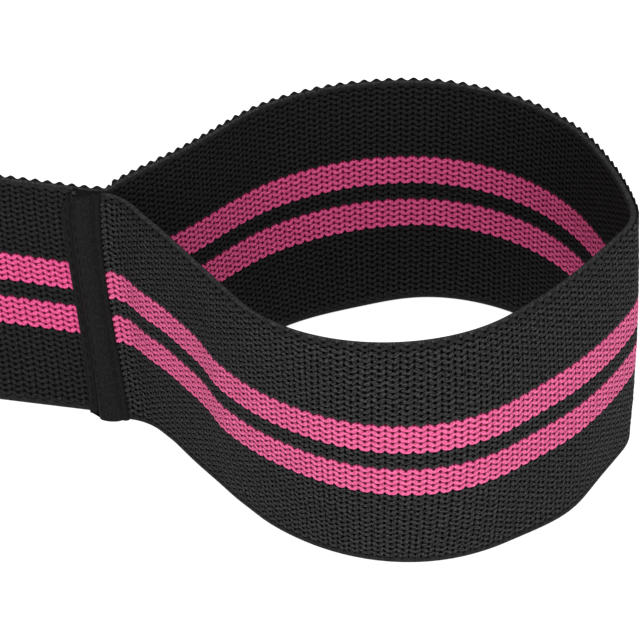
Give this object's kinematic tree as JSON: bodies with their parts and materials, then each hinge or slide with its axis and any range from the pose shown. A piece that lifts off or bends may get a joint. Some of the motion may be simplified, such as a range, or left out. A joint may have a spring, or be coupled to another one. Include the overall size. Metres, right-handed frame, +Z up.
{
  "type": "resistance band",
  "caption": "Wide knitted elastic resistance band: a straight centre strip with a sewn, tape-covered seam and a teardrop loop at each end.",
  "frame": {"origin": "middle of the centre strip's thickness and length, on its lower edge", "axes": "+X along the band to the right-hand loop, -Y towards the side the raw ends are sewn on, +Z up across the band's width"},
  "size_m": [0.5824, 0.167, 0.08],
  "materials": {
    "knit_black": "coarse crochet-knit polyester, matt",
    "stripe_pink": "coarse crochet-knit polyester, slightly bright",
    "latex": "square-cut latex thread",
    "edge_cord_black": "smooth selvedge cord",
    "tape_black": "fine ribbed woven tape",
    "thread_black": "twisted sewing thread"
  },
  "bodies": {
    "centre": {"centre_edge_cords": "edge_cord_black", "centre_front_knit": "knit_black", "centre_front_stripe_lower": "stripe_pink", "centre_front_stripe_upper": "stripe_pink", "centre_rear_knit": "knit_black", "centre_rear_stripe_lower": "stripe_pink", "centre_rear_stripe_upper": "stripe_pink", "centre_rubber_threads": "latex"},
    "right_seam": {"right_lap_end": "knit_black", "right_seam_stitching": "thread_black", "right_seam_tape": "tape_black"},
    "right_loop": {"right_loop_edge_cords": "edge_cord_black", "right_loop_inner_knit": "knit_black", "right_loop_inner_stripe_lower": "stripe_pink", "right_loop_inner_stripe_upper": "stripe_pink", "right_loop_outer_knit": "knit_black", "right_loop_outer_stripe_lower": "stripe_pink", "right_loop_outer_stripe_upper": "stripe_pink", "right_loop_rubber_threads": "latex"},
    "left_seam": {"left_lap_end": "knit_black", "left_seam_stitching": "thread_black", "left_seam_tape": "tape_black"},
    "left_loop": {"left_loop_edge_cords": "edge_cord_black", "left_loop_inner_knit": "knit_black", "left_loop_inner_stripe_lower": "stripe_pink", "left_loop_inner_stripe_upper": "stripe_pink", "left_loop_outer_knit": "knit_black", "left_loop_outer_stripe_lower": "stripe_pink", "left_loop_outer_stripe_upper": "stripe_pink", "left_loop_rubber_threads": "latex"}
  },
  "joints": [
    {"name": "right_stretch", "type": "slide", "parent": "centre", "child": "right_seam", "axis": [1, 0, 0], "range_m": [0, 0.09], "stiffness_N_per_m": 900, "deforming": ["centre_edge_cords", "centre_front_knit", "centre_front_stripe_lower", "centre_front_stripe_upper", "centre_rear_knit", "centre_rear_stripe_lower", "centre_rear_stripe_upper", "centre_rubber_threads"]},
    {"name": "right_neck_flex", "type": "hinge", "parent": "right_seam", "child": "right_loop", "pos_m": [0.1297, -0.0015, 0.04], "axis": [0, 0, 1], "range_deg": [-75, 75], "stiffness_Nm_per_rad": 0.02},
    {"name": "left_stretch", "type": "slide", "parent": "centre", "child": "left_seam", "axis": [-1, 0, 0], "range_m": [0, 0.09], "stiffness_N_per_m": 900, "deforming": ["centre_edge_cords", "centre_front_knit", "centre_front_stripe_lower", "centre_front_stripe_upper", "centre_rear_knit", "centre_rear_stripe_lower", "centre_rear_stripe_upper", "centre_rubber_threads"]},
    {"name": "left_neck_flex", "type": "hinge", "parent": "left_seam", "child": "left_loop", "pos_m": [-0.1297, -0.0015, 0.04], "axis": [0, 0, 1], "range_deg": [-75, 75], "stiffness_Nm_per_rad": 0.02}
  ],
  "couplings": [
    {"joint": "left_stretch", "follows": "right_stretch", "ratio": 1}
  ]
}
